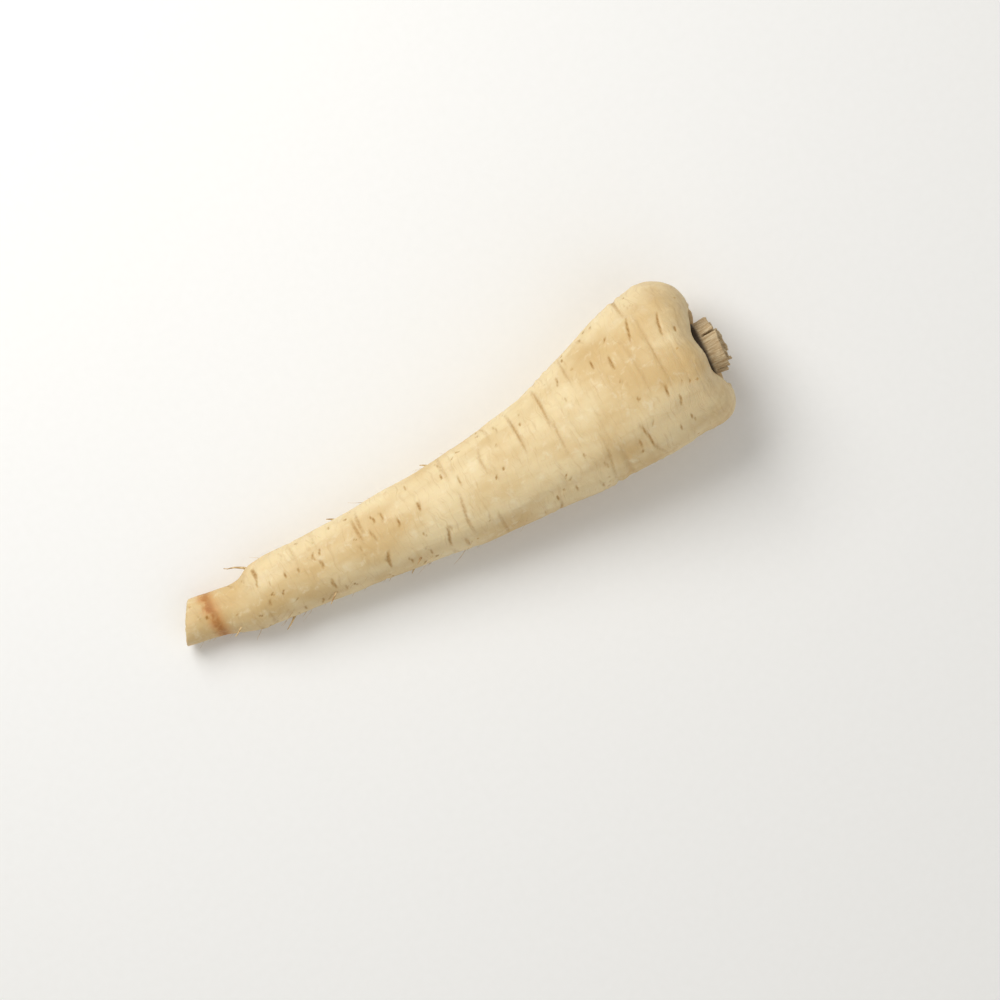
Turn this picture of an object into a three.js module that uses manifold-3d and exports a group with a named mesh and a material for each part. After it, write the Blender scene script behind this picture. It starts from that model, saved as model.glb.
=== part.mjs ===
// A topped and washed parsnip, lying on its side with its crown towards +X.
// Millimetres, +Z up, with the origin under the middle of its bounding box.
import * as THREE from 'three';
import { mergeVertices } from 'three/addons/utils/BufferGeometryUtils.js';
import Module from 'manifold-3d';

const wasm = await Module();
wasm.setup();

// The root's outline seen from above. "along" is measured from the crown's end towards the tip,
// "half" is half the width there, and "aside" is how far the middle has moved towards +Y.
const outline = [
  { along: 10, half: 23.1, aside: -0.7 },
  { along: 18, half: 23.0, aside: -1.5 },
  { along: 28, half: 21.6, aside: -3.1 },
  { along: 40, half: 19.5, aside: -5.0 },
  { along: 60, half: 16.4, aside: -6.7 },
  { along: 80, half: 14.4, aside: -6.9 },
  { along: 112, half: 11.6, aside: -5.1 },
  { along: 128, half: 10.7, aside: -4.2 },
  { along: 145, half: 9.6, aside: -3.0 },
  { along: 151, half: 8.2, aside: -3.8 },
  { along: 160, half: 6.5, aside: -1.6 },
  { along: 169, half: 6.1, aside: 0.1 },
];

const rootHeightShare = 0.97; // the root's height over its width
const pressedDepth = 0.7; // how much the underside is flattened where it lies
const archLift = 0.8; // the underside's rise between its two resting stretches
const archFrom = 72;
const archTo = 150;
const tipLift = 1.3; // the tip's rise off the surface
const tipSlant = 0.55; // the broken end's slant, along over aside
const tipSlantFrom = 150;

const crownEnd = { rimRadius: 13.2, rimAlong: -0.6, hollowRadius: 9.8, hollowAlong: 3.4, shoulderAlong: 10 };
const shoulderRound = 0.87; // 1 is an elliptical shoulder, and less is a squarer one
const shoulderSteps = 9;
const hollowAside = -1.5; // the hollow's middle, from the shoulder's
const rimWave = { all: -0.05, side: -0.25, twice: -1.2, top: 1.2, lumps: 0.35 };

const ringSpacing = 1.75; // along the body
const sidesAround = 46;

const lobes = { two: 0.45, three: 0.35, twoTwist: 0.02, threeTwist: -0.03, start: 0.8 }; // out of round
const swells = { long: 0.22, longStep: 5.3, sway: 0.9, short: 0.16, shortStep: 3.1 }; // slow rings
const furrow = { count: 4, depth: 0.4, sharpness: 5, start: 0.55, twist: 0.004 };
const grooveCount = 58;
const grooveSeed = 11;
const grooveShape = { from: 12, to: 160, crowding: 1.25, leastReach: 0.22, moreReach: 0.55 };
const grooveDepth = { least: 0.16, more: 0.4, width: 1.25 };

const rootletCount = 8;
const rootletSeed = 5;
const rootlet = { from: 84, to: 160, radius: 0.6, tipRadius: 0.25, least: 1.6, more: 4.4, sunk: 2, sides: 5 };
const rootletBend = { sweep: 1.1, wander: 0.3, least: 0.03, more: 0.03 };
const rootletRows = [-0.1, 2.6, 3.2]; // the angles of the rows that rootlets grow in

const stalk = { radius: 8.6, floorGap: 0.8, baseHeight: 3.6, aside: -0.5, lean: 0.05 };
const sheathRings = [
  { count: 4, radius: 8.4, thick: 1.7, halfAngle: 0.74, height: 6.9, turn: 0.3 },
  { count: 3, radius: 6.1, thick: 1.6, halfAngle: 0.92, height: 7.9, turn: 0.9 },
  { count: 2, radius: 3.9, thick: 1.4, halfAngle: 1.3, height: 8.5, turn: 0.2 },
];
const sheath = { flare: 0.09, endShare: 0.42, foot: 1, uneven: 0.5, slope: 0.07, arcSteps: 9 };
const bud = { radius: 1.7, height: 7.8 };

const rootMaterial = new THREE.MeshStandardMaterial({ color: 0xe6cd9b, roughness: 0.6, metalness: 0 });
const stalkMaterial = new THREE.MeshStandardMaterial({ color: 0xa98f68, roughness: 0.8, metalness: 0 });

// A repeatable source of numbers between 0 and 1.
function seededDraw(seed) {
  let state = seed;
  return () => {
    state = (state * 1664525 + 1013904223) % 4294967296;
    return state / 4294967296;
  };
}

// A smooth curve through the outline's points.
function outlineAt(along, field) {
  const last = outline.length - 1;
  let i = 0;
  while (i < last - 1 && along > outline[i + 1].along) i += 1;
  const [from, to] = [outline[i], outline[i + 1]];
  const before = outline[Math.max(i - 1, 0)];
  const after = outline[Math.min(i + 2, last)];
  const span = to.along - from.along;
  const share = THREE.MathUtils.clamp((along - from.along) / span, 0, 1);
  const slopeIn = ((to[field] - before[field]) / (to.along - before.along)) * span;
  const slopeOut = ((after[field] - from[field]) / (after.along - from.along)) * span;
  const rise = to[field] - from[field];
  return (
    from[field] +
    share * slopeIn +
    share * share * (3 * rise - 2 * slopeIn - slopeOut) +
    share * share * share * (slopeIn + slopeOut - 2 * rise)
  );
}

const grooveDraw = seededDraw(grooveSeed);
const grooves = Array.from({ length: grooveCount }, () => ({
  along: grooveShape.from + (grooveShape.to - grooveShape.from) * grooveDraw() ** grooveShape.crowding,
  angle: 2 * Math.PI * grooveDraw(),
  reach: grooveShape.leastReach + grooveShape.moreReach * grooveDraw(),
  depth: grooveDepth.least + grooveDepth.more * grooveDraw() ** 2,
}));

// How far the skin stands above the smooth form, from slow lobes, lengthwise furrows and cross grooves.
function relief(along, angle) {
  const size = outlineAt(along, 'half') / outline[0].half;
  const twoLobes = lobes.two * Math.cos(2 * angle + lobes.twoTwist * along + lobes.start);
  const threeLobes = lobes.three * Math.cos(3 * angle + lobes.threeTwist * along);
  const longSwell = swells.long * Math.sin(along / swells.longStep + swells.sway * Math.cos(angle));
  const shortSwell = swells.short * Math.sin(along / swells.shortStep + 2 * angle);
  const turned = furrow.count * (angle - furrow.start - furrow.twist * along);
  const furrows = -furrow.depth * Math.exp(furrow.sharpness * (Math.cos(turned) - 1));
  let cuts = 0;
  for (const groove of grooves) {
    const off = (along - groove.along) / grooveDepth.width;
    const around = Math.atan2(Math.sin(angle - groove.angle), Math.cos(angle - groove.angle)) / groove.reach;
    if (Math.abs(off) < 3 && Math.abs(around) < 1) {
      cuts -= groove.depth * Math.exp(-off * off) * (1 - around * around) ** 2;
    }
  }
  return size * (twoLobes + threeLobes + longSwell + shortSwell + furrows) + Math.sqrt(size) * cuts;
}

const smooth = THREE.MathUtils.smoothstep;

// The height of the root's middle line over the surface it lies on.
function middleHeight(along) {
  const arch = THREE.MathUtils.clamp((along - archFrom) / (archTo - archFrom), 0, 1);
  const lift = archLift * Math.sin(Math.PI * arch) ** 2;
  const tip = tipLift * smooth(along, tipSlantFrom, outline.at(-1).along);
  return rootHeightShare * outlineAt(along, 'half') - pressedDepth + lift + tip;
}

// A point of the root, from how far along it lies, its distance from the middle line and its angle from +Y.
function rootPoint(along, radius, angle) {
  const inCrown = 1 - smooth(along, 0, crownEnd.shoulderAlong);
  const onRim = inCrown * smooth(radius, crownEnd.hollowRadius - 1, crownEnd.rimRadius - 0.7);
  const wave =
    rimWave.all +
    rimWave.side * Math.cos(angle) +
    rimWave.twice * Math.cos(2 * angle) +
    rimWave.top * Math.sin(angle) +
    rimWave.lumps * (Math.cos(5 * angle + 1) + 0.7 * Math.cos(8 * angle + 2));
  const half = outlineAt(along, 'half');
  const skin = smooth(radius, 0.5 * half, 0.9 * half);
  const reach = radius + skin * relief(along, angle);
  const aside = reach * Math.cos(angle);
  const slant = tipSlant * aside * smooth(along, tipSlantFrom, outline.at(-1).along);
  const height = middleHeight(along) + rootHeightShare * reach * Math.sin(angle);
  return new THREE.Vector3(
    -(along + onRim * wave - slant),
    outlineAt(along, 'aside') + inCrown * hollowAside + aside,
    Math.max(height, 0)
  );
}

// The root's half section: the floor of the crown's hollow, its rim, the shoulder, the body and the tip.
function rootProfile() {
  const { rimRadius, rimAlong, hollowRadius, hollowAlong, shoulderAlong } = crownEnd;
  const points = [
    [0, hollowAlong],
    [hollowRadius * 0.5, hollowAlong],
    [hollowRadius * 0.93, hollowAlong],
    [hollowRadius + 0.2, hollowAlong - 0.6],
    [hollowRadius + 1.2, hollowAlong - 1.9],
    [rimRadius - 1.2, rimAlong + 0.75],
    [rimRadius - 0.4, rimAlong + 0.12],
  ];
  const widest = outline[0].half;
  for (let step = 0; step < shoulderSteps; step += 1) {
    const turn = (step / shoulderSteps) * (Math.PI / 2);
    const outward = Math.sin(turn) ** shoulderRound;
    const back = 1 - Math.cos(turn) ** shoulderRound;
    points.push([rimRadius + (widest - rimRadius) * outward, rimAlong + (shoulderAlong - rimAlong) * back]);
  }
  const end = outline.at(-1);
  const bodySteps = Math.round((end.along - shoulderAlong) / ringSpacing);
  for (let step = 0; step <= bodySteps; step += 1) {
    const along = shoulderAlong + ((end.along - shoulderAlong) * step) / bodySteps;
    points.push([outlineAt(along, 'half'), along]);
  }
  points.push([end.half * 0.9, end.along + 0.5]);
  points.push([end.half * 0.66, end.along + 0.3]);
  points.push([end.half * 0.36, end.along + 0.9]);
  points.push([0, end.along + 0.7]);
  return points.map(([radius, along]) => new THREE.Vector2(radius, -along)).reverse();
}

// The shared vertices and the triangles of a closed geometry.
function weld(geometry) {
  geometry.deleteAttribute('normal');
  geometry.deleteAttribute('uv');
  const welded = mergeVertices(geometry, 1e-4);
  const corners = welded.index.array;
  const kept = [];
  for (let i = 0; i < corners.length; i += 3) {
    const [a, b, c] = corners.slice(i, i + 3);
    if (a !== b && b !== c && c !== a) kept.push(a, b, c);
  }
  welded.setIndex(kept);
  return welded;
}

function solidOf(geometry) {
  const welded = weld(geometry);
  const vertProperties = new Float32Array(welded.attributes.position.array);
  const triVerts = new Uint32Array(welded.index.array);
  return new wasm.Manifold(new wasm.Mesh({ numProp: 3, vertProperties, triVerts }));
}

function geometryOf(solid) {
  const mesh = solid.getMesh();
  const geometry = new THREE.BufferGeometry();
  geometry.setAttribute('position', new THREE.BufferAttribute(new Float32Array(mesh.vertProperties), 3));
  geometry.setIndex(new THREE.BufferAttribute(new Uint32Array(mesh.triVerts), 1));
  geometry.computeVertexNormals();
  return geometry;
}

// A lathe's welded vertices moved to where the form puts them.
function shapedLathe(profile, sides, place) {
  const geometry = weld(new THREE.LatheGeometry(profile, sides));
  const position = geometry.attributes.position;
  for (let i = 0; i < position.count; i += 1) {
    const [x, y, z] = [position.getX(i), position.getY(i), position.getZ(i)];
    const point = place(Math.hypot(x, z), y, Math.atan2(x, z));
    position.setXYZ(i, point.x, point.y, point.z);
  }
  return geometry;
}

// Short rootlets in rows down the root's sides, swept towards the tip and sunk into the root.
function rootletSolids() {
  const draw = seededDraw(rootletSeed);
  const solids = [];
  for (let index = 0; index < rootletCount; index += 1) {
    const along = rootlet.from + ((rootlet.to - rootlet.from) * (index + draw())) / rootletCount;
    const row = rootletRows[index % rootletRows.length];
    const angle = row + rootletBend.wander * (draw() - 0.5);
    const length = rootlet.least + (rootlet.more * draw() * index) / rootletCount;
    const bend = rootletBend.least + rootletBend.more * draw();
    const profile = [
      [0, -rootlet.sunk],
      [rootlet.radius * 1.3, -rootlet.sunk],
      [rootlet.radius, 0.4],
      [rootlet.radius * 0.7, length * 0.35],
      [rootlet.radius * 0.55, length * 0.7],
      [rootlet.tipRadius, length],
      [0, length],
    ].map(([radius, height]) => new THREE.Vector2(radius, height));
    const foot = rootPoint(along, outlineAt(along, 'half'), angle);
    const outward = new THREE.Vector3(-rootletBend.sweep, Math.cos(angle), Math.sin(angle)).normalize();
    const turn = new THREE.Quaternion().setFromUnitVectors(new THREE.Vector3(0, 1, 0), outward);
    const shape = shapedLathe(profile, rootlet.sides, (radius, height, around) => {
      const local = new THREE.Vector3(radius * Math.sin(around), height, radius * Math.cos(around));
      const point = local.applyQuaternion(turn).add(foot);
      point.x -= bend * Math.max(height, 0) ** 2;
      return point;
    });
    solids.push(solidOf(shape));
  }
  return solids;
}

function makeRoot() {
  const body = shapedLathe(rootProfile(), sidesAround, (radius, y, angle) => rootPoint(-y, radius, angle));
  let solid = solidOf(body);
  for (const piece of rootletSolids()) solid = solid.add(piece);
  const mesh = new THREE.Mesh(geometryOf(solid), rootMaterial);
  mesh.name = 'parsnip_root';
  return mesh;
}

// One leaf stalk's base: a crescent in section, thin at its ends, leaning out towards its cut top.
function sheathSolid(ring, index) {
  const { arcSteps, endShare, foot } = sheath;
  const arc = Array.from({ length: arcSteps + 1 }, (_, step) => ring.halfAngle * ((2 * step) / arcSteps - 1));
  const facing = ring.turn + (2 * Math.PI * index) / ring.count;
  const corner = (angle, radius) =>
    new THREE.Vector2(radius * Math.cos(facing + angle), radius * Math.sin(facing + angle));
  const thickAt = (angle) =>
    ring.thick * (endShare + (1 - endShare) * Math.cos((0.5 * Math.PI * angle) / ring.halfAngle));
  const section = new THREE.Shape([
    ...arc.map((angle) => corner(angle, ring.radius)),
    ...arc.toReversed().map((angle) => corner(angle, ring.radius - thickAt(angle))),
  ]);
  const height = ring.height + sheath.uneven * Math.sin(2.3 * index + ring.count);
  const raised = { depth: height - foot, steps: 3, bevelEnabled: false };
  const geometry = new THREE.ExtrudeGeometry(section, raised);
  geometry.translate(0, 0, foot);
  const position = geometry.attributes.position;
  for (let i = 0; i < position.count; i += 1) {
    const [x, y, z] = [position.getX(i), position.getY(i), position.getZ(i)];
    const spread = 1 - sheath.flare + (sheath.flare * z) / ring.height;
    const inward = ring.radius - (x * Math.cos(facing) + y * Math.sin(facing));
    const atTop = z > height - 0.01;
    position.setXYZ(i, x * spread, y * spread, atTop ? z - sheath.slope * inward : z);
  }
  return solidOf(geometry);
}

function makeStalkBases() {
  const { radius, baseHeight } = stalk;
  const base = [
    [0, 0],
    [radius * 0.9, 0],
    [radius * 0.98, 0.6],
    [radius * 0.96, baseHeight * 0.7],
    [radius * 0.8, baseHeight],
    [0, baseHeight + 0.8],
  ];
  const centre = [
    [0, 1],
    [bud.radius, 1],
    [bud.radius, bud.height * 0.8],
    [bud.radius * 0.6, bud.height * 0.96],
    [0, bud.height],
  ];
  const upright = (r, height, around) =>
    new THREE.Vector3(-r * Math.sin(around), r * Math.cos(around), height);
  const lathed = (points, sides) =>
    solidOf(shapedLathe(points.map(([r, height]) => new THREE.Vector2(r, height)), sides, upright));
  let solid = lathed(base, 28).add(lathed(centre, 10));
  for (const ring of sheathRings) {
    for (let index = 0; index < ring.count; index += 1) solid = solid.add(sheathSolid(ring, index));
  }
  const mesh = new THREE.Mesh(geometryOf(solid), stalkMaterial);
  mesh.name = 'leaf_stalk_bases';
  mesh.rotation.set(0, Math.PI / 2, -stalk.lean, 'ZYX');
  const aside = outline[0].aside + hollowAside + stalk.aside;
  mesh.position.set(stalk.floorGap - crownEnd.hollowAlong, aside, middleHeight(crownEnd.hollowAlong));
  return mesh;
}

const parsnip = new THREE.Group();
parsnip.add(makeRoot(), makeStalkBases());
parsnip.updateMatrixWorld(true);
const middle = new THREE.Box3().setFromObject(parsnip, true).getCenter(new THREE.Vector3());
parsnip.position.set(-middle.x, -middle.y, 0);

export default parsnip;
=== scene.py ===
import math

import bpy
import numpy as np
from mathutils import Matrix, Vector


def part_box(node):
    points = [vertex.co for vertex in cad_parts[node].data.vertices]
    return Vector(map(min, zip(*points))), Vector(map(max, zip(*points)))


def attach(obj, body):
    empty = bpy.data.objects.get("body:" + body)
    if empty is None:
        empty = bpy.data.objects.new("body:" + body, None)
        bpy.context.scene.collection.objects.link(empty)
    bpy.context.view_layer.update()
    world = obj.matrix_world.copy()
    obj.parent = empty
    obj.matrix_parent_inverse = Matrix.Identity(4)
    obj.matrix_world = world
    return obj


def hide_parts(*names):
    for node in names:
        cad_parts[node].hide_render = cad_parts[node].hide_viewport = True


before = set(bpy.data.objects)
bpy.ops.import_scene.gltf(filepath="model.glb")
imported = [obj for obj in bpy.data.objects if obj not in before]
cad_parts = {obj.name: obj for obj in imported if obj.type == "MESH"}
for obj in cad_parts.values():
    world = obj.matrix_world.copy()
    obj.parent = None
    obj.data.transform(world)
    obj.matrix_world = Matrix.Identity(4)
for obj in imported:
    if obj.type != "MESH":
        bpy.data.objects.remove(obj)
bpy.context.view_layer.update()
rootLow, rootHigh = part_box("parsnip_root")
print("frame loaded:", ", ".join(sorted(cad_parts)))

mm = 0.001
metre = 1000  # in millimetres


# a paint colour given in 0 to 255, as the linear colour that the shaders want
def paint(red, green, blue):
    linear = [((c / 255 + 0.055) / 1.055) ** 2.4 for c in (red, green, blue)]
    return (*linear, 1.0)


# a socket that takes part in written-out sums
class Term:
    def __init__(self, graph, socket):
        self.graph = graph
        self.socket = socket

    def __add__(self, other):
        return self.graph.maths("ADD", self, other)

    def __radd__(self, other):
        return self.graph.maths("ADD", other, self)

    def __sub__(self, other):
        return self.graph.maths("SUBTRACT", self, other)

    def __rsub__(self, other):
        return self.graph.maths("SUBTRACT", other, self)

    def __mul__(self, other):
        return self.graph.maths("MULTIPLY", self, other)

    def __rmul__(self, other):
        return self.graph.maths("MULTIPLY", other, self)

    def __pow__(self, other):
        return self.graph.maths("POWER", self, other)


# a node tree, for shading or for geometry
class Graph:
    def __init__(self, tree):
        self.tree = tree

    # the one way in for every node but the sums: its type, its settings, then its sockets
    def node(self, kind, settings=None, sockets=None):
        made = self.tree.nodes.new(kind)
        for name, value in (settings or {}).items():
            setattr(made, name, value)
        for key, value in (sockets or {}).items():
            if isinstance(key, int):
                socket = made.inputs[key]
            else:
                socket = next(s for s in made.inputs if key in (s.identifier, s.name))
            if isinstance(value, Term):
                value = value.socket
            if isinstance(value, bpy.types.NodeSocket):
                self.tree.links.new(value, socket)
            else:
                socket.default_value = value
        return made

    def out(self, made, key=0):
        return Term(self, made.outputs[key])

    def maths(self, operation, *values):
        made = self.node("ShaderNodeMath", {"operation": operation}, dict(enumerate(values)))
        return self.out(made)

    def vector(self, operation, *values):
        made = self.node("ShaderNodeVectorMath", {"operation": operation}, dict(enumerate(values)))
        return self.out(made)

    def scaled(self, vector, factor):
        made = self.node("ShaderNodeVectorMath", {"operation": "SCALE"},
                         {"Vector": vector, "Scale": factor})
        return self.out(made)

    # 0 up to low and 1 from high on, with a soft run between them
    def eased(self, value, low, high):
        made = self.node("ShaderNodeMapRange", {"interpolation_type": "SMOOTHSTEP"},
                         {"Value": value, "From Min": low, "From Max": high})
        return self.out(made)

    # one of a vector's three numbers, counted from 0
    def part(self, vector, axis):
        return self.out(self.node("ShaderNodeSeparateXYZ", None, {"Vector": vector}), axis)

    # a vector of the same number three times
    def threefold(self, value):
        made = self.node("ShaderNodeCombineXYZ", None, {"X": value, "Y": value, "Z": value})
        return self.out(made)

    # a vector moved along X
    def shifted(self, vector, amount):
        made = self.node("ShaderNodeCombineXYZ", None, {"X": amount})
        return self.vector("ADD", vector, self.out(made))

    def noise(self, place, scale=1.0, detail=3.0, rough=0.5, bend=0.0):
        made = self.node("ShaderNodeTexNoise", {"noise_dimensions": "3D"},
                         {"Vector": place, "Scale": scale, "Detail": detail, "Roughness": rough,
                          "Distortion": bend})
        return self.out(made)

    # the cells round scattered points: distance from the nearest, and a chance colour for each
    def cells(self, place, scale, randomness):
        return self.node("ShaderNodeTexVoronoi", {"feature": "F1"},
                         {"Vector": place, "Scale": scale, "Randomness": randomness})

    def blend(self, factor, first, second):
        made = self.node("ShaderNodeMix", {"data_type": "RGBA", "clamp_factor": True},
                         {"Factor_Float": factor, "A_Color": first, "B_Color": second})
        return self.out(made, 2)

    # a piece's named number, in a material
    def attribute(self, name):
        return self.out(self.node("ShaderNodeAttribute", {"attribute_name": name}), 2)

    # the same in a geometry tree
    def field(self, name, kind="FLOAT"):
        made = self.node("GeometryNodeInputNamedAttribute", {"data_type": kind}, {"Name": name})
        return self.out(made)

    # a term into one of a shader's inputs
    def feed(self, shader, name, value):
        self.tree.links.new(value.socket, shader.inputs[name])


# a new material with its graph, its shader and its Object coordinates in millimetres
def newMaterial(name):
    material = bpy.data.materials.new(name)
    material.use_nodes = True
    graph = Graph(material.node_tree)
    shader = next(n for n in material.node_tree.nodes if n.type == "BSDF_PRINCIPLED")
    place = graph.out(graph.node("ShaderNodeTexCoord"), 3)
    return material, graph, shader, graph.scaled(place, metre)


# a height in millimetres as bumps on a shader
def bumpOn(graph, shader, height, strength=1.0):
    bump = graph.node("ShaderNodeBump", None, {"Strength": strength, "Distance": mm, "Height": height})
    graph.feed(shader, "Normal", graph.out(bump, "Normal"))


# named numbers on a mesh's points, which materials and trees read
def addFields(mesh, fields):
    for key, values in fields.items():
        layer = mesh.attributes.new(key, "FLOAT", "POINT")
        layer.data.foreach_set("value", np.asarray(values, np.float32).ravel())


def meshPiece(name, vertices, faces, fields=None, smooth=True):
    mesh = bpy.data.meshes.new(name)
    mesh.from_pydata(vertices, [], faces)
    addFields(mesh, fields or {})
    if smooth:
        mesh.polygons.foreach_set("use_smooth", [True] * len(mesh.polygons))
    mesh.update()
    piece = bpy.data.objects.new(name, mesh)
    bpy.context.scene.collection.objects.link(piece)
    return piece


# a Geometry Nodes tree with an input for each value of a dictionary, named by its key
def newTree(name, values):
    kinds = {int: "NodeSocketInt", float: "NodeSocketFloat", tuple: "NodeSocketVector"}
    tree = bpy.data.node_groups.new(name, "GeometryNodeTree")
    tree.interface.new_socket(name="Geometry", in_out="INPUT", socket_type="NodeSocketGeometry")
    tree.interface.new_socket(name="Geometry", in_out="OUTPUT", socket_type="NodeSocketGeometry")
    for label, value in values.items():
        socket = tree.interface.new_socket(name=label, in_out="INPUT", socket_type=kinds[type(value)])
        socket.default_value = value
    graph = Graph(tree)
    start = graph.node("NodeGroupInput")
    return tree, graph, {s.name: Term(graph, s) for s in start.outputs if s.name}


# puts a tree on a piece with its inputs set, and leaves the piece a plain mesh
def runTree(piece, tree, values):
    modifier = piece.modifiers.new(tree.name, "NODES")
    modifier.node_group = tree
    for item in tree.interface.items_tree:
        if item.in_out == "INPUT" and item.name in values:
            modifier[item.identifier] = values[item.name]
    bakeModifiers(piece)


# leaves a piece as the plain mesh that its modifiers make
def bakeModifiers(piece):
    bpy.context.view_layer.update()
    shown = piece.evaluated_get(bpy.context.evaluated_depsgraph_get())
    mesh = bpy.data.meshes.new_from_object(shown)
    piece.modifiers.clear()
    piece.data = mesh
    mesh.name = piece.name


# closes a tree: realised, with its material
def endTree(graph, geometry, material):
    real = graph.node("GeometryNodeRealizeInstances", None, {"Geometry": geometry})
    smooth = graph.node("GeometryNodeSetShadeSmooth", None, {0: graph.out(real)})
    coated = graph.node("GeometryNodeSetMaterial", None,
                        {"Geometry": graph.out(smooth), "Material": material})
    end = graph.node("NodeGroupOutput")
    graph.tree.links.new(coated.outputs[0], end.inputs[0])


# the same run of numbers between 0 and 1 for a seed, every time
def seededDraw(seed):
    factor, step, span = 1664525, 1013904223, 4294967296
    state = seed
    while True:
        state = (state * factor + step) % span
        yield state / span


# a size given as (least, how much more at most)
def within(size, share):
    return size[0] + size[1] * share


# where along the root the next one of a kind falls: a crowding over 1 draws them towards its "from"
def drawnAlong(kind, draw):
    return kind["from"] + (kind["to"] - kind["from"]) * next(draw) ** kind["crowding"]


def smoothStep(value, low, high):
    share = np.clip((value - low) / (high - low), 0, 1)
    return share * share * (3 - 2 * share)


# the root's form, in millimetres, "along" measured from the crown's end towards the tip
rootForm = {
    # along, half the width there, and how far the middle lies towards +Y
    "outline": [(10, 23.1, -0.7), (18, 23.0, -1.5), (28, 21.6, -3.1), (40, 19.5, -5.0), (60, 16.4, -6.7),
                (80, 14.4, -6.9), (112, 11.6, -5.1), (128, 10.7, -4.2), (145, 9.6, -3.0), (151, 8.2, -3.8),
                (160, 6.5, -1.6), (169, 6.1, 0.1)],
    "heightShare": 0.97,
    "pressed": 0.7,  # how much the underside is flattened
    "arch": (72, 150, 0.8),  # from, to and rise of the underside
    "tipFrom": 150,
    "tipLift": 1.3,
    "tipSlant": 0.55,
    "rimRadius": 13.2,
    "rimAlong": -0.6,
    "hollowRadius": 9.8,
    "hollowAlong": 3.4,
    "hollowAside": -1.5,
    "hollowFade": (-0.4, 3.4),  # its brown, with the painted shade on its floor, fades from here past the hollow's edge to here past the rim
    "shoulderRound": 0.87,
    "rimWave": (-0.05, -0.25, -1.2, 1.2, 0.35),  # level, side, twice round, top and small lumps
    # lobes round the root, and swells along it, with their heights, starts and steps
    "lobes": {"two": 0.45, "twoStart": 0.8, "twoTwist": 0.02, "three": 0.35, "threeTwist": 0.03},
    "swells": {"long": 0.22, "longStep": 5.3, "longTilt": 0.9, "short": 0.16, "shortStep": 3.1},
    "furrow": {"count": 4, "depth": 0.4, "sharpness": 5, "start": 0.55, "twist": 0.004},
    # how finely it is meshed: points round it, rings of each stretch, and how far apart the body's are
    "around": 232,
    "hollowSteps": 36,
    "shoulderSteps": 42,
    "bodyStep": 0.51,
    "endSteps": 18,
}
outlineTable = np.array(rootForm["outline"], float)
shoulderAlong, widest = outlineTable[0][:2]
endAlong, endHalf = outlineTable[-1][:2]


# a column of the outline at any place along the root, on a smooth curve through its points
def outlineAt(along, column):
    along = np.asarray(along, float)
    places, values = outlineTable[:, 0], outlineTable[:, column]
    last = len(places) - 1
    i = np.clip(np.searchsorted(places, along, side="left") - 1, 0, last - 1)
    before, after = np.maximum(i - 1, 0), np.minimum(i + 2, last)
    span = places[i + 1] - places[i]
    share = np.clip((along - places[i]) / span, 0, 1)
    slopeIn = (values[i + 1] - values[before]) / (places[i + 1] - places[before]) * span
    slopeOut = (values[after] - values[i]) / (places[after] - places[i]) * span
    rise = values[i + 1] - values[i]
    curve = 3 * rise - 2 * slopeIn - slopeOut + share * (slopeIn + slopeOut - 2 * rise)
    return values[i] + share * slopeIn + share * share * curve


def halfAt(along):
    return outlineAt(along, 1)


# the marks that cross the root: wide grooves, small corky scars and creases near the crown. A pair of
# numbers is the least and how much more at most, and a reach is half the angle that a mark runs round
marks = {
    "grooves": {"seed": 11, "lookSeed": 111, "count": 58, "from": 12, "to": 160, "crowding": 1.25,
                "reach": (0.22, 0.55), "depth": (0.16, 0.4), "width": 0.8, "brown": (0, 0.5), "wave": 0.9},
    "scars": {"seed": 23, "count": 230, "from": 7, "to": 166, "crowding": 1.1, "length": (1.2, 4.6),
              "depth": (0.05, 0.2), "width": (0.3, 0.3), "brown": (0.25, 0.7), "wave": 0.4,
              "onFurrows": 0.6, "spread": 0.5},
    "creases": {"seed": 37, "count": 46, "from": 2, "to": 96, "crowding": 1.7, "reach": (0.35, 1.5),
                "depth": (0.06, 0.2), "width": (0.45, 0.6), "brown": (0, 0.1), "wave": 1.2},
    "lips": (0.3, 1.9),  # the raised edges of a mark: their share of its depth, and place in widths
    "ripples": (2.6, 9),  # the waver of a mark's line: its step in reaches, and its start's in millimetres
    "stainSharpness": 2.6,
    # the ones that stand out: along, angle, reach, depth, width, brownness, waviness and skew
    "plain": [(17.1, 0.89, 0.23, 0.3, 0.5, 0.85, 0.25, 1.75), (8.6, 1.08, 0.2, 0.26, 0.5, 0.9, 0.2, 1.25),
              (4.0, 1.19, 0.05, 0.2, 0.6, 0.9, 0.0, 0.2), (26.5, 2.3, 0.3, 0.28, 0.5, 0.75, 0.3, -1.2),
              (101.0, 1.43, 0.13, 0.2, 0.5, 0.8, 0.2, 0.3), (108.4, 2.19, 0.3, 0.3, 0.6, 0.95, 0.3, 0.8),
              (126.1, 1.52, 0.16, 0.2, 0.5, 0.8, 0.2, 0.2), (144.6, 1.92, 0.14, 0.15, 0.6, 0.5, 0.2, 0.1),
              (144.9, 0.86, 0.3, 0.2, 0.9, 0.8, 0.3, 0.4), (90.1, 2.25, 0.34, 0.3, 0.55, 0.8, 0.3, 0.6)],
}


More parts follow.
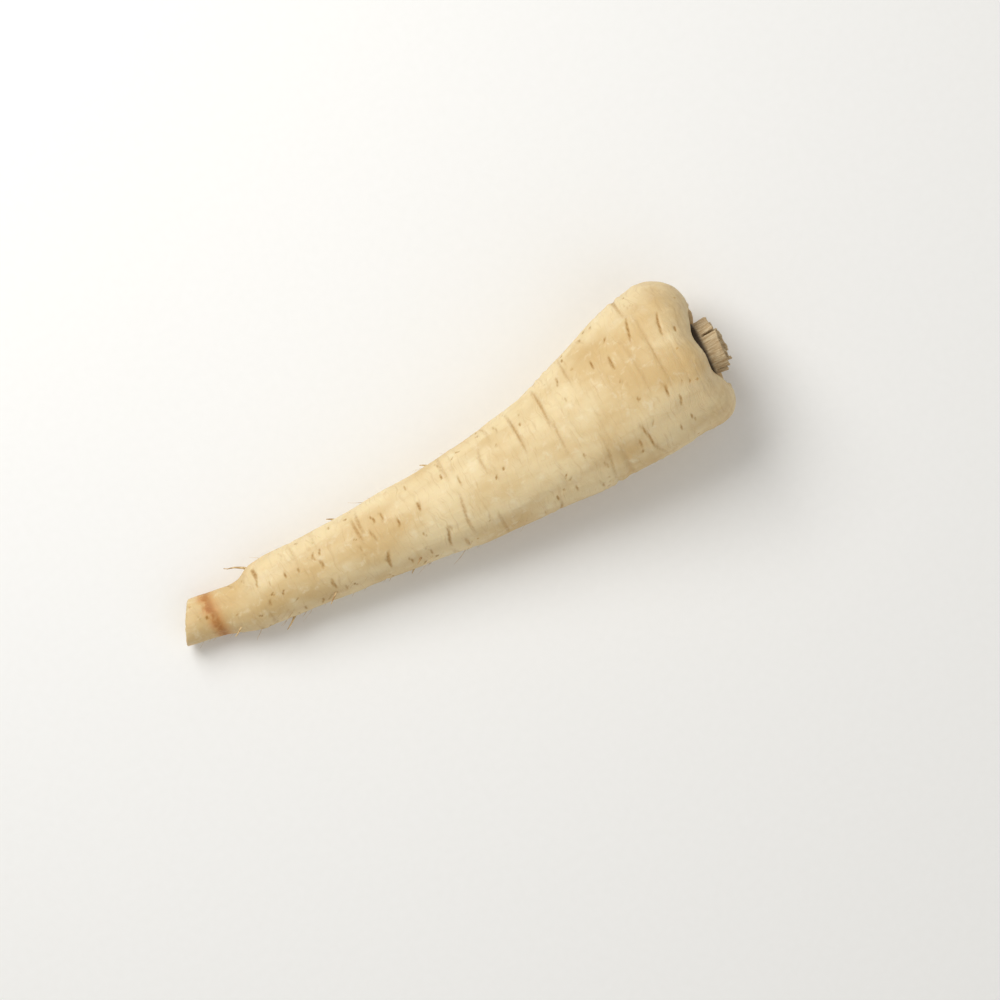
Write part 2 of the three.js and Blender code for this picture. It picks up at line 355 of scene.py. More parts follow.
# every mark, in the same terms as the plain ones
def listMarks():
    furrow = rootForm["furrow"]
    grooves, scars, creases = marks["grooves"], marks["scars"], marks["creases"]
    found = []
    draw, look = seededDraw(grooves["seed"]), seededDraw(grooves["lookSeed"])
    for _ in range(grooves["count"]):
        along = drawnAlong(grooves, draw)
        angle = 2 * math.pi * next(draw)
        reach = within(grooves["reach"], next(draw))
        depth = within(grooves["depth"], next(draw) ** 2)
        brown = within(grooves["brown"], next(look))
        found.append((along, angle, reach, depth, grooves["width"], brown, grooves["wave"] * next(look), 0))
    draw = seededDraw(scars["seed"])
    for _ in range(scars["count"]):
        along = drawnAlong(scars, draw)
        row = int(furrow["count"] * next(draw))
        line = furrow["start"] + furrow["twist"] * along + 2 * math.pi / furrow["count"] * row
        spread = scars["spread"] if next(draw) < scars["onFurrows"] else math.pi
        angle = line + spread * (2 * next(draw) - 1)
        length = within(scars["length"], next(draw) ** 2)
        depth = within(scars["depth"], next(draw))
        width = within(scars["width"], next(draw))
        reach = 0.5 * length / float(halfAt(along))
        brown = within(scars["brown"], next(draw))
        found.append((along, angle, reach, depth, width, brown, scars["wave"] * next(draw), 0))
    draw = seededDraw(creases["seed"])
    for _ in range(creases["count"]):
        along = drawnAlong(creases, draw)
        angle = 2 * math.pi * next(draw)
        reach = within(creases["reach"], next(draw))
        depth = within(creases["depth"], next(draw))
        width = within(creases["width"], next(draw))
        brown = within(creases["brown"], next(draw))
        found.append((along, angle, reach, depth, width, brown, creases["wave"] * next(draw), 0))
    return found + marks["plain"]


# how far the marks sink the skin, and how brown they stain it
def markRelief(along, angle):
    sunk = np.zeros(np.broadcast(along, angle).shape)
    stain = np.zeros_like(sunk)
    rows = along[:, 0]
    lipShare, lipPlace = marks["lips"]
    rippleStep, rippleStart = marks["ripples"]
    for place, facing, reach, depth, width, brown, wave, skew in listMarks():
        near = np.abs(rows - place) < 4 * width + wave + abs(skew)
        if not near.any():
            continue
        turned = np.arctan2(np.sin(angle - facing), np.cos(angle - facing)) / reach
        inside = np.clip(1 - turned * turned, 0, 1)
        bent = wave * np.sin(rippleStep * turned + rippleStart * place) + skew * turned.clip(-1, 1)
        off = (along[near] - place - bent) / width
        lips = lipShare * (np.exp(-((off - lipPlace) ** 2)) + np.exp(-((off + lipPlace) ** 2)))
        sunk[near] += depth * inside ** 1.5 * (np.exp(-off * off) - lips)
        stained = brown * inside * np.exp(-marks["stainSharpness"] * off * off)
        stain[near] = np.maximum(stain[near], stained)
    return sunk, stain


# how far the skin stands out from the smooth form, and how deep in a furrow it lies
def skinRelief(along, angle):
    size = halfAt(along) / widest
    lobes, swells, furrow = rootForm["lobes"], rootForm["swells"], rootForm["furrow"]
    twoLobes = lobes["two"] * np.cos(2 * angle + lobes["twoTwist"] * along + lobes["twoStart"])
    threeLobes = lobes["three"] * np.cos(3 * angle - lobes["threeTwist"] * along)
    out = twoLobes + threeLobes
    out = out + swells["long"] * np.sin(along / swells["longStep"] + swells["longTilt"] * np.cos(angle))
    out = out + swells["short"] * np.sin(along / swells["shortStep"] + 2 * angle)
    turned = furrow["count"] * (angle - furrow["start"] - furrow["twist"] * along)
    valley = np.exp(furrow["sharpness"] * (np.cos(turned) - 1))
    return size * (out - furrow["depth"] * valley), valley


# how high the root's middle lies above the surface that it rests on
def middleHeight(along):
    archFrom, archTo, archLift = rootForm["arch"]
    arch = np.clip((along - archFrom) / (archTo - archFrom), 0, 1)
    lift = archLift * np.sin(np.pi * arch) ** 2
    tip = rootForm["tipLift"] * smoothStep(along, rootForm["tipFrom"], endAlong)
    return rootForm["heightShare"] * halfAt(along) - rootForm["pressed"] + lift + tip


# points of the root in millimetres, before they are moved to the frame, with what the skin shows there
def rootPoints(along, radius, angle, marked=True):
    inCrown = 1 - smoothStep(along, 0, shoulderAlong)
    onRim = inCrown * smoothStep(radius, rootForm["hollowRadius"] - 1, rootForm["rimRadius"] - 0.7)
    level, side, twice, top, lumps = rootForm["rimWave"]
    wave = level + side * np.cos(angle) + twice * np.cos(2 * angle) + top * np.sin(angle)
    wave = wave + lumps * (np.cos(5 * angle + 1) + 0.7 * np.cos(8 * angle + 2))
    half = halfAt(along)
    skin = smoothStep(radius, 0.5 * half, 0.9 * half)
    bulge, valley = skinRelief(along, angle)
    sunk, stain = markRelief(along, angle) if marked else (0, 0)
    reach = radius + skin * (bulge - np.sqrt(half / widest) * sunk)
    aside = reach * np.cos(angle)
    slant = rootForm["tipSlant"] * aside * smoothStep(along, rootForm["tipFrom"], endAlong)
    height = middleHeight(along) + rootForm["heightShare"] * reach * np.sin(angle)
    x = -(along + onRim * wave - slant)
    y = outlineAt(along, 2) + inCrown * rootForm["hollowAside"] + aside
    return np.stack([x, y + 0 * x, np.maximum(height, 0)], -1), skin * stain, valley


# a smooth run through a few (radius, along) points
def smoothRun(points, steps):
    points = np.array(points, float)
    padded = np.vstack([points[0], points, points[-1]])
    share = np.linspace(0, len(points) - 1, steps)
    i = np.minimum(share.astype(int), len(points) - 2)
    t = (share - i)[:, None]
    a, b, c, d = padded[i], padded[i + 1], padded[i + 2], padded[i + 3]
    squared, cubed = 2 * a - 5 * b + 4 * c - d, 3 * b - a - 3 * c + d
    return 0.5 * (2 * b + (c - a) * t + squared * t ** 2 + cubed * t ** 3)


# the root's half section from the hollow's floor over the rim and shoulder to the tip
def rootProfile():
    hollowRadius, hollowAlong = rootForm["hollowRadius"], rootForm["hollowAlong"]
    rimRadius, rimAlong = rootForm["rimRadius"], rootForm["rimAlong"]
    floor = [(0, hollowAlong), (hollowRadius * 0.5, hollowAlong), (hollowRadius * 0.93, hollowAlong),
             (hollowRadius + 0.2, hollowAlong - 0.6), (hollowRadius + 1.2, hollowAlong - 1.9),
             (rimRadius - 1.2, rimAlong + 0.75), (rimRadius - 0.4, rimAlong + 0.12), (rimRadius, rimAlong)]
    hollow = smoothRun(floor, rootForm["hollowSteps"])
    turn = np.linspace(0, np.pi / 2, rootForm["shoulderSteps"])[1:]
    roundness = rootForm["shoulderRound"]
    outwards, onwards = np.sin(turn) ** roundness, 1 - np.cos(turn).clip(0) ** roundness
    shoulder = np.stack([rimRadius + (widest - rimRadius) * outwards,
                         rimAlong + (shoulderAlong - rimAlong) * onwards], 1)
    places = np.arange(shoulderAlong, endAlong, rootForm["bodyStep"])[1:]
    body = np.stack([halfAt(places), places], 1)
    face = [(endHalf, endAlong), (endHalf * 0.9, endAlong + 0.5), (endHalf * 0.66, endAlong + 0.3),
            (endHalf * 0.36, endAlong + 0.9), (0, endAlong + 0.7)]
    end = smoothRun(face, rootForm["endSteps"])
    return np.vstack([hollow, shoulder, body, end]), len(hollow), len(end)


# faces of rings of points that start and end in a single point
def ringFaces(rings, around):
    faces = []
    for ring in range(rings - 1):
        a = 1 + ring * around
        for k in range(around):
            n = (k + 1) % around
            faces.append((a + k, a + around + k, a + around + n, a + n))
    last = 1 + rings * around
    tail = 1 + (rings - 1) * around
    for k in range(around):
        n = (k + 1) % around
        faces.append((0, 1 + k, 1 + n))
        faces.append((last, tail + n, tail + k))
    return faces


rootMiddle = Vector((0, 0, 0))  # how far the form moves to lie in the frame, in millimetres, from makeRoot


def makeRoot(material):
    profile, hollowRows, endRows = rootProfile()
    around = rootForm["around"]
    angle = np.linspace(0, 2 * np.pi, around, endpoint=False)[None, :]
    radius, along = profile[:, :1], profile[:, 1:]
    points, stain, valley = rootPoints(along, radius, angle)
    rows = len(profile)
    index = np.arange(rows)[:, None] + 0 * angle
    fadeIn, fadeOut = rootForm["hollowFade"]
    inHollow = 1 - smoothStep(radius, rootForm["hollowRadius"] + fadeIn, rootForm["rimRadius"] + fadeOut)
    shoulderRows, edgeRows = 20, 4  # rows past the rim that may be brown, and of skin turned over the end
    hollow = np.where(index < hollowRows + shoulderRows, inHollow + 0 * angle, 0)
    cutEnd = np.where(index >= rows - endRows + edgeRows, 1.0, 0.0)
    endShare = np.where(index >= rows - endRows, radius / endHalf + 0 * angle, 1.0)
    low, high = points.reshape(-1, 3).min(0), points.reshape(-1, 3).max(0)
    for axis in range(2):
        frameMiddle = 0.5 * metre * (rootLow[axis] + rootHigh[axis])
        rootMiddle[axis] = frameMiddle - 0.5 * (low[axis] + high[axis])
    points = (points + np.array(rootMiddle)) * mm

    def flat(grid):
        grid = grid + 0 * index
        return np.concatenate([grid[:1, 0], grid[1:-1].ravel(), grid[-1:, 0]])

    vertices = np.vstack([points[0, :1], points[1:-1].reshape(-1, 3), points[-1, :1]])
    fields = {"stain": flat(stain), "valley": flat(valley), "hollow": flat(hollow), "cutEnd": flat(cutEnd),
              "endShare": flat(endShare)}
    root = meshPiece("parsnipRoot", vertices.tolist(), ringFaces(rows - 2, around), fields)
    tree, wrinkle = wrinkleTree(material)
    runTree(root, tree, wrinkle)
    return root


# fine wrinkles pushed into the skin along its normals
def wrinkleTree(material):
    wrinkle = {"Ring Depth": 0.16 * mm, "Ring Spacing": 2.1 * mm, "Ring Waver": 5 * mm,
               "Streak Depth": 0.1 * mm, "Streak Spacing": 1.5 * mm, "Collar Depth": 0.09 * mm,
               "Cut Depth": 0.9 * mm, "Floor Clearance": 0.4 * mm}
    # spots a metre of the slow waver, of the torn end and of the wobble in the collar's folds
    waverScale, tornScale, wobbleScale = 110, 700, 210
    foldTurn, wobbleReach = 15.0, 7.0  # radians of folds across the collar, and how far they wander
    tree, graph, given = newTree("skinWrinkles", wrinkle)
    place = graph.out(graph.node("GeometryNodeInputPosition"))
    normal = graph.out(graph.node("GeometryNodeInputNormal"))
    waver = (graph.noise(graph.scaled(place, waverScale), 1.0, 2.0) - 0.5) * given["Ring Waver"]
    across = graph.vector("MULTIPLY", graph.shifted(place, waver), (1, 0.09, 0.09))
    rings = graph.vector("DIVIDE", across, graph.threefold(given["Ring Spacing"]))
    lengthwise = graph.vector("MULTIPLY", place, (0.07, 1, 1))
    streaks = graph.vector("DIVIDE", lengthwise, graph.threefold(given["Streak Spacing"]))
    ringed = (0.5 - graph.noise(rings, 1.0, 2.0, 0.55, 0.3)) * given["Ring Depth"] * 2.0
    streaked = (0.5 - graph.noise(streaks, 1.0, 2.0, 0.5)) * given["Streak Depth"] * 2.0
    ragged = graph.noise(graph.scaled(place, tornScale), 1.0, 4.0, 0.7) - 0.4
    torn = ragged * given["Cut Depth"] * graph.field("cutEnd")
    hollow = graph.field("hollow")
    wobble = graph.noise(graph.scaled(place, wobbleScale), 1.0, 2.0) * wobbleReach
    wave = graph.maths("SINE", hollow * foldTurn + wobble)
    collar = wave * hollow * (1 - hollow) * given["Collar Depth"] * 4.0
    lifted = graph.eased(graph.part(place, 2), 0.0, given["Floor Clearance"])
    depth = (ringed + streaked + torn + collar) * lifted
    offset = graph.scaled(normal, 0.0 - depth)
    moved = graph.node("GeometryNodeSetPosition", None, {"Geometry": given["Geometry"], "Offset": offset})
    endTree(graph, graph.out(moved), material)
    return tree, wrinkle


# the frame's eight stout rootlets, a little slimmer, and a scatter of hair-fine ones in the same three rows
rootlets = {
    "rows": (-0.1, 2.6, 3.2),  # the angles that they grow at
    "stout": {"seed": 5, "count": 8, "from": 84, "to": 160, "radius": 0.5, "length": (1.6, 4.4),
              "sweep": 1.1, "wander": 0.3, "bend": (0.03, 0.03)},
    "fine": {"seed": 71, "count": 44, "from": 66, "to": 167, "crowding": 0.85, "radius": (0.05, 0.07),
             "length": (0.7, 3.0), "spread": 0.5, "bend": (0.04, 0.16), "sweep": (0.7, 0.9)},
    "sunk": 1.2,  # how deep a foot lies in the root
    "hair": {"Segments": 9, "Sides": 6, "Sweep": (-1, 0, 0), "Waviness": 0.34},
}


# tapered hairs, one from each point of a cloud that says where it points, how long and how thick it is
def hairTree(material):
    trembleScale = 330.0  # kinks a metre
    tipLoss, taperPower = 0.8, 0.8  # how much thinner the tip is, and how soon a hair thins
    tree, graph, given = newTree("hairs", rootlets["hair"])
    line = graph.node("GeometryNodeCurvePrimitiveLine", None, {"Start": (0, 0, 0), "End": (0, 0, 1)})
    strand = graph.node("GeometryNodeResampleCurve", None,
                        {"Curve": graph.out(line), "Count": given["Segments"]})
    upright = graph.node("FunctionNodeAlignRotationToVector", {"axis": "Z"},
                         {"Vector": graph.field("outward", "FLOAT_VECTOR")})
    dots = graph.node("GeometryNodeMeshToPoints", None, {"Mesh": given["Geometry"]})
    length = graph.field("length")
    planted = graph.node("GeometryNodeInstanceOnPoints", None,
                         {"Points": graph.out(dots), "Instance": graph.out(strand),
                          "Rotation": graph.out(upright), "Scale": graph.threefold(length)})
    real = graph.node("GeometryNodeRealizeInstances", None, {"Geometry": graph.out(planted)})
    share = graph.out(graph.node("GeometryNodeSplineParameter"), 0)
    place = graph.out(graph.node("GeometryNodeInputPosition"))
    reach = length * share
    curl = graph.scaled(given["Sweep"], reach * reach * graph.field("bend") * metre)
    tremble = graph.node("ShaderNodeTexNoise", None,
                         {"Vector": place, "Scale": trembleScale, "Detail": 1.0})
    centred = graph.vector("SUBTRACT", graph.out(tremble, 1), (0.5, 0.5, 0.5))
    wander = graph.scaled(centred, reach * given["Waviness"])
    bent = graph.node("GeometryNodeSetPosition", None,
                      {"Geometry": graph.out(real), "Offset": graph.vector("ADD", curl, wander)})
    thick = graph.field("thick") * (1 - tipLoss * share ** taperPower)
    ring = graph.node("GeometryNodeCurvePrimitiveCircle", None,
                      {"Resolution": given["Sides"], "Radius": 1.0})
    skin = graph.node("GeometryNodeCurveToMesh", None,
                      {"Curve": graph.out(bent), "Profile Curve": graph.out(ring), "Scale": thick,
                       "Fill Caps": True})
    endTree(graph, graph.out(skin), material)
    return tree


# a cloud of points that hairs grow from: place, length and thickness in metres, and bend per millimetre
def hairCloud(name, roots):
    cloud = meshPiece(name, [tuple(r["place"]) for r in roots], [],
                      {key: [r[key] for r in roots] for key in ("length", "thick", "bend")})
    layer = cloud.data.attributes.new("outward", "FLOAT_VECTOR", "POINT")
    layer.data.foreach_set("vector", np.array([tuple(r["outward"]) for r in roots], np.float32).ravel())
    return cloud


def makeRootlets(material):
    rows = rootlets["rows"]
    stout, fine = rootlets["stout"], rootlets["fine"]
    found = []

    def plant(along, angle, length, thick, bend, sweep):
        column = np.array([[along]], float)
        foot, _, _ = rootPoints(column, halfAt(column), np.array([[angle]]), marked=False)
        outward = Vector((-sweep, math.cos(angle), math.sin(angle))).normalized()
        place = Vector(foot[0, 0]) + rootMiddle - outward * rootlets["sunk"]
        found.append({"place": place * mm, "outward": outward, "length": (length + rootlets["sunk"]) * mm,
                      "thick": thick * mm, "bend": bend})

    draw = seededDraw(stout["seed"])
    for index in range(stout["count"]):
        along = stout["from"] + (stout["to"] - stout["from"]) * (index + next(draw)) / stout["count"]
        angle = rows[index % len(rows)] + stout["wander"] * (next(draw) - 0.5)
        length = stout["length"][0] + stout["length"][1] * next(draw) * index / stout["count"]
        bend = within(stout["bend"], next(draw))
        plant(along, angle, length, stout["radius"], bend, stout["sweep"])
    draw = seededDraw(fine["seed"])
    for _ in range(fine["count"]):
        along = drawnAlong(fine, draw)
        angle = rows[int(len(rows) * next(draw))] + fine["spread"] * (next(draw) - 0.5)
        length = within(fine["length"], next(draw) ** 2)
        thick = within(fine["radius"], next(draw))
        sweep = within(fine["sweep"], next(draw))
        bend = within(fine["bend"], next(draw))
        plant(along, angle, length, thick, bend, sweep)
    piece = hairCloud("rootlets", found)
    runTree(piece, hairTree(material), rootlets["hair"])
    return piece


# the cut leaf-stalk bases, in their own upright frame in millimetres, as in the CAD node
stalks = {
    "radius": 8.6, "floorGap": 0.8, "baseHeight": 3.6, "aside": -0.5, "lean": 0.05,
    # how many, outer radius, thickness, half angle, height and turn of each ring
    "rings": [(4, 8.4, 1.7, 0.74, 6.9, 0.3), (3, 6.1, 1.6, 0.92, 7.9, 0.9), (2, 3.9, 1.4, 1.3, 8.5, 0.2)],
    # how much they spread upwards, thin at their sides, differ in height and fall inwards at the top
    "flare": 0.09, "endShare": 0.42, "uneven": 0.5, "slope": 0.07,
    # the height that they start at, and how far down from its top each is torn, and rounded
    "foot": 1, "tornDepth": 1.3, "roundDepth": 0.25,
    "bud": (1.7, 7.8),
    "slump": 0.34,
    "voxel": 0.23,
    # how upright and how high a surface is that counts as a cut top
    "topFacing": (0.55, 0.9), "topHeight": (4.6, 6.2),
    # up to where the painted shade reaches at their feet and between them, and how much lower that lies
    # towards the bud
    "paintedShadeHeight": (2.0, 3.4), "innerShare": 0.78, "innerDrop": 1.2,
}


# loops of points joined into a tube, whose first points at the bottom and the top are given back
def addLoops(vertices, faces, loops):
    first = len(vertices)
    count = len(loops[0])
    for loop in loops:
        vertices.extend(loop)
    for level in range(len(loops) - 1):
        for k in range(count):
            a, b = first + level * count + k, first + level * count + (k + 1) % count
            faces.append((a, b, b + count, a + count))
    return first, first + (len(loops) - 1) * count


# one stalk base: a crescent in section, with a rounded and slightly hollowed cut top
def addSheath(vertices, faces, ring, index):
    count, radius, thick, halfAngle, tall, turn = ring
    facing = turn + 2 * math.pi * index / count
    height = tall + stalks["uneven"] * math.sin(2.3 * index + count)
    endShare, tornFrom = stalks["endShare"], height - stalks["tornDepth"]
    foot, straight = stalks["foot"], height - stalks["foot"] - stalks["roundDepth"]
    steps = 20
    arc = [halfAngle * (2 * k / steps - 1) for k in range(steps + 1)]
    loops = []
    levels = [(foot + straight * k / 9, 1.0) for k in range(10)]
    levels += [(height - 0.08, 0.9), (height, 0.7)]
    for z, fill in levels:
        spread = 1 - stalks["flare"] + stalks["flare"] * z / tall
        outer, inner = [], []
        for angle in arc:
            wide = thick * (endShare + (1 - endShare) * math.cos(0.5 * math.pi * angle / halfAngle))
            middle = radius - 0.5 * wide
            torn = 0.17 * math.sin(5.3 * angle + 3 * index) + 0.1 * math.sin(13 * angle + 5 * index)
            ragged = torn * (z > tornFrom)
            for side, row in ((1, outer), (-1, inner)):
                r = (middle + side * 0.5 * wide * fill) * spread
                top = z + ragged + (stalks["slope"] * (r - radius) if z > tornFrom else 0)
                row.append((r * math.cos(facing + angle), r * math.sin(facing + angle), top))
        loops.append(outer + inner[::-1])
    bottom, top = addLoops(vertices, faces, loops)
    width = len(arc)
    for k in range(width - 1):
        faces.append((bottom + k + 1, bottom + k, bottom + 2 * width - 1 - k, bottom + 2 * width - 2 - k))
        faces.append((top + k, top + k + 1, top + 2 * width - 2 - k, top + 2 * width - 1 - k))


# a turned body through (radius, height) points
def addLathe(vertices, faces, profile, sides):
    loops = []
    for radius, z in profile:
        r = max(radius, 0.02)
        loops.append([(r * math.cos(2 * math.pi * k / sides), r * math.sin(2 * math.pi * k / sides), z)
                      for k in range(sides)])
    bottom, top = addLoops(vertices, faces, loops)
    faces.append(tuple(bottom + k for k in range(sides))[::-1])
    faces.append(tuple(top + k for k in range(sides)))


def makeStalkBases(material):
    vertices, faces = [], []
    radius, base = stalks["radius"], stalks["baseHeight"]
    addLathe(vertices, faces, [(0, 0), (radius * 0.9, 0), (radius * 0.98, 0.6), (radius * 0.96, base * 0.7),
                               (radius * 0.8, base), (0, base + 0.8)], 64)
    budRadius, budHeight = stalks["bud"]
    addLathe(vertices, faces, [(0, 1), (budRadius, 1), (budRadius, budHeight * 0.8),
                               (budRadius * 0.6, budHeight * 0.96), (0, budHeight)], 28)
    for ring in stalks["rings"]:
        for index in range(ring[0]):
            addSheath(vertices, faces, ring, index)
    piece = meshPiece("leafStalkBases", [tuple(c * mm for c in slumped(*v)) for v in vertices], faces)
    remesh = piece.modifiers.new("fuse", "REMESH")
    remesh.mode = "VOXEL"
    remesh.voxel_size = stalks["voxel"] * mm
    soften = piece.modifiers.new("soften", "SMOOTH")
    soften.factor = 0.5
    soften.iterations = 4
    bakeModifiers(piece)
    mesh = piece.data
    mesh.polygons.foreach_set("use_smooth", [True] * len(mesh.polygons))
    co = np.empty(len(mesh.vertices) * 3)
    mesh.vertices.foreach_get("co", co)
    co = co.reshape(-1, 3) / mm
    normals = np.array([v.normal for v in mesh.vertices])
    height, spread = co[:, 2], np.hypot(co[:, 0], co[:, 1])
    upright = smoothStep(normals[:, 2], *stalks["topFacing"])
    lowered = stalks["innerDrop"] * (spread < stalks["innerShare"] * radius)
    # where shade is painted: low down on the stalk bases, not as high on the inner ones
    addFields(mesh, {"cutTop": upright * smoothStep(height, *stalks["topHeight"]),
                     "paintedShade": 1 - smoothStep(height + lowered, *stalks["paintedShadeHeight"]),
                     "fromBud": spread / radius})
    tree, fibre = fibreTree(material)
    runTree(piece, tree, fibre)
    piece.data.transform(stalkPlace())
    return piece


# dried stalk bases stand a little out of true, more so towards their cut tops
def slumped(x, y, z):
    most = stalks["slump"] * min(max((z - 1) / 6, 0), 1)
    return (x + most * (math.sin(0.62 * y + 1.3) + 0.5 * math.sin(1.3 * x + 0.5)),
            y + most * (math.sin(0.57 * x + 0.4) + 0.5 * math.sin(1.1 * y + 2.1)),
            z + 0.8 * most * math.sin(0.5 * x - 0.4 * y))


# from the stalk bases' own upright frame to where they stand in the crown
def stalkPlace():
    aside = outlineTable[0][2] + rootForm["hollowAside"] + stalks["aside"]
    depth = stalks["floorGap"] - rootForm["hollowAlong"]
    spot = Vector((depth, aside, float(middleHeight(rootForm["hollowAlong"])))) + rootMiddle
    leaned = Matrix.Rotation(-stalks["lean"], 4, "Z")
    laidDown = Matrix.Rotation(math.pi / 2, 4, "Y")
    return Matrix.Translation(spot * mm) @ leaned @ laidDown


# long fibres down the sides of the stalk bases and pits in their cut tops
def fibreTree(material):
    fibre = {"Fibre Depth": 0.2 * mm, "Fibre Spacing": 0.75 * mm, "Pit Depth": 0.18 * mm}
    pitScale = 1500  # pits a metre
    footLow, footHigh = 0.5 * mm, 2.5 * mm  # smooth below, fibrous above
    tree, graph, given = newTree("stalkFibres", fibre)
    place = graph.out(graph.node("GeometryNodeInputPosition"))
    normal = graph.out(graph.node("GeometryNodeInputNormal"))
    cutTop = graph.field("cutTop")
    upright = graph.vector("MULTIPLY", place, (1, 1, 0.12))
    drawnOut = graph.vector("DIVIDE", upright, graph.threefold(given["Fibre Spacing"]))
    fibres = (0.5 - graph.noise(drawnOut, 1.0, 3.0, 0.6, 0.5)) * given["Fibre Depth"] * 2.0
    pits = graph.noise(graph.scaled(place, pitScale), 1.0, 3.0, 0.6) * given["Pit Depth"] * cutTop
    free = graph.eased(graph.part(place, 2), footLow, footHigh)
    offset = graph.scaled(normal, 0.0 - (fibres * (1 - cutTop) + pits) * free)
    moved = graph.node("GeometryNodeSetPosition", None, {"Geometry": given["Geometry"], "Offset": offset})
    endTree(graph, graph.out(moved), material)
    return tree, fibre


# washed skin: cream with tan mottling, brown corky scars, rust specks, a rust band near the tip, darker
# round the crown, a dark brown on its hollow's floor that is partly cork and partly painted shade, and
# paler flesh at the cut end
def skinMaterial():
    look = {"cream": paint(232, 211, 165), "tan": paint(212, 181, 126), "pale": paint(240, 226, 190),
            "scar": paint(142, 98, 28), "rust": paint(184, 132, 46), "crownTan": paint(188, 150, 96),
            "bandOuter": paint(196, 122, 40), "bandInner": paint(154, 90, 24),
            "hollowTan": paint(168, 130, 84), "hollowCorkAndShade": paint(104, 76, 48),
            "flesh": paint(238, 224, 186), "core": paint(214, 184, 124)}
    # in millimetres: where the band is, how far its dark middle and the whole of it reach to each side, and
    # how far the rings waver
    bandPlace, bandCoreReach, bandReach, ringWaver = -78.0, 1.7, 3.9, 6.0
    material, graph, shader, place = newMaterial("parsnipSkin")
    patches = graph.noise(graph.vector("MULTIPLY", place, (0.035, 0.06, 0.06)), 1.0, 3.0, 0.55)
    mottle = graph.noise(place, 0.32, 4.0, 0.6, 0.4)
    streaks = graph.noise(graph.vector("MULTIPLY", place, (0.05, 1.0, 1.0)), 1.0, 3.0, 0.6)
    wavy = graph.shifted(place, (graph.noise(place, 0.11, 2.0) - 0.5) * ringWaver)
    rings = graph.noise(graph.vector("MULTIPLY", wavy, (1.1, 0.13, 0.13)), 1.0, 3.0, 0.6, 0.6)
    grain = graph.noise(graph.vector("MULTIPLY", wavy, (3.0, 1.5, 1.5)), 1.0, 3.0, 0.65)
    stain, valley = graph.attribute("stain"), graph.attribute("valley")
    hollow, cutEnd = graph.attribute("hollow"), graph.attribute("cutEnd")
    colour = graph.blend(graph.eased(patches, 0.36, 0.66), look["cream"], look["tan"])
    colour = graph.blend(graph.eased(mottle, 0.5, 0.78) * 0.55, colour, look["pale"])
    colour = graph.blend(graph.eased(streaks, 0.52, 0.8) * 0.28, colour, look["tan"])
    colour = graph.blend(graph.eased(rings, 0.52, 0.74) * 0.3, colour, look["crownTan"])
    colour = graph.blend(valley * 0.16, colour, look["crownTan"])
    length = graph.part(place, 0)
    nearCrown = graph.eased(length, 58.0, 84.0)
    colour = graph.blend(nearCrown * graph.eased(mottle, 0.3, 0.75) * 0.42, colour, look["crownTan"])
    specks = graph.cells(place, 0.17, 1.0)
    chance = graph.part(graph.out(specks, 1), 0)
    frayed = graph.out(specks, 0) + (graph.noise(place, 1.3, 3.0, 0.7) - 0.5) * 0.3
    speck = (1 - graph.eased(frayed, 0.02, 0.12)) * graph.eased(chance, 0.55, 0.7)
    colour = graph.blend(speck * 0.62, colour, look["rust"])
    broken = graph.eased(graph.noise(place, 1.6, 3.0, 0.7), 0.36, 0.6)
    edged = graph.eased(stain, 0.04, 0.5)
    colour = graph.blend(edged * 0.45, colour, look["rust"])
    colour = graph.blend(stain * (0.35 + 0.65 * broken), colour, look["scar"])
    fromBand = graph.maths("ABSOLUTE", length - bandPlace + (mottle - 0.5) * 4.0)
    band = 1 - graph.eased(fromBand, 0.2, bandReach)
    bandCore = 1 - graph.eased(fromBand, 0.0, bandCoreReach)
    uneven = 0.6 + 0.4 * graph.eased(mottle, 0.32, 0.62)
    colour = graph.blend(band * uneven * 0.7, colour, look["bandOuter"])
    colour = graph.blend(bandCore * uneven * 0.6, colour, look["bandInner"])
    patchy = graph.eased(graph.noise(place, 0.8, 4.0, 0.65), 0.34, 0.6)
    browned = graph.eased(hollow + (mottle - 0.5) * 0.5 + (patches - 0.5) * 0.4, 0.24, 1.1)
    colour = graph.blend(browned * (0.34 + 0.6 * patchy), colour, look["hollowTan"])
    # the hollow's floor and inner wall: a dark brown that is partly corky tissue and partly painted shade
    # in the recess
    corkAndPaintedShade = graph.eased(hollow + (mottle - 0.5) * 0.25, 0.82, 1.05)
    colour = graph.blend(corkAndPaintedShade * 0.8, colour, look["hollowCorkAndShade"])
    fromRing = graph.maths("ABSOLUTE", graph.attribute("endShare") - 0.46 + (mottle - 0.5) * 0.5)
    ringed = 1 - graph.eased(fromRing, 0.0, 0.2)
    flesh = graph.blend(ringed * 0.45, look["flesh"], look["core"])
    flesh = graph.blend(graph.eased(patches + mottle * 0.5, 0.68, 0.86) * 0.5, flesh, look["crownTan"])
    flesh = graph.blend(graph.eased(grain, 0.45, 0.75) * 0.4, flesh, look["tan"])
    graph.feed(shader, "Base Color", graph.blend(cutEnd, colour, flesh))
    graph.feed(shader, "Roughness", 0.5 + 0.16 * mottle + 0.14 * stain + 0.2 * hollow)
    shader.inputs["Specular IOR Level"].default_value = 0.4
    shader.inputs["Subsurface Weight"].default_value = 0.12
    shader.inputs["Subsurface Radius"].default_value = (0.004, 0.0025, 0.0012)
    shader.inputs["Subsurface Scale"].default_value = 1.0
    pores = graph.noise(place, 5.0, 2.0)
    height = rings * 0.16 + streaks * 0.07 + grain * 0.07 + pores * 0.03 - stain * 0.1
    bumpOn(graph, shader, height, 0.9)
    return material
